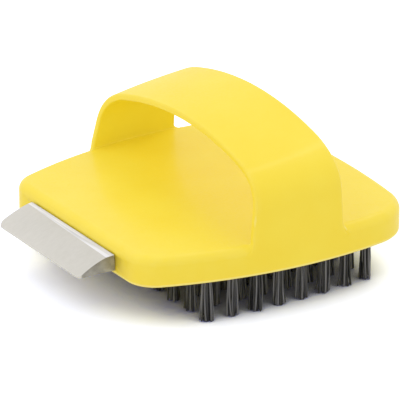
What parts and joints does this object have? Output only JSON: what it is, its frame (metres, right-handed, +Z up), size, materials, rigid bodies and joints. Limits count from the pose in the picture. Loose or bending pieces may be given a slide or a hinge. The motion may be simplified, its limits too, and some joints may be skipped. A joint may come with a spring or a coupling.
{
  "type": "oven brush",
  "caption": "Block brush for ovens and grills, with a wide strap handle, short dark bristle tufts underneath and a metal scraper wedge on its front end.",
  "frame": {"origin": "middle of the overall bounding box, on the plane of the bristle tips", "axes": "+Z up, -X to the scraper end, +Y to the brush's right; the strap handle spans from side to side along Y"},
  "size_m": [0.1473, 0.132, 0.0722],
  "materials": {
    "moulding": "satin moulded plastic, bright yellow",
    "bristle": "dark grey filaments in a bed of the body's yellow plastic",
    "scraper": "matt, with a fine grain",
    "screw": "zinc plated"
  },
  "bodies": {
    "root": {"body": "moulding", "scraper": "scraper", "scraper_screw_left": "screw", "scraper_screw_right": "screw", "bristle_slice_1_left": "bristle", "bristle_slice_2_left": "bristle", "bristle_slice_3_left": "bristle", "bristle_slice_4_left": "bristle", "bristle_slice_5_left": "bristle", "bristle_slice_6_left": "bristle", "bristle_slice_7_left": "bristle", "bristle_slice_8_left": "bristle", "bristle_slice_1_right": "bristle", "bristle_slice_2_right": "bristle", "bristle_slice_3_right": "bristle", "bristle_slice_4_right": "bristle", "bristle_slice_5_right": "bristle", "bristle_slice_6_right": "bristle", "bristle_slice_7_right": "bristle", "bristle_slice_8_right": "bristle"}
  },
  "joints": []
}
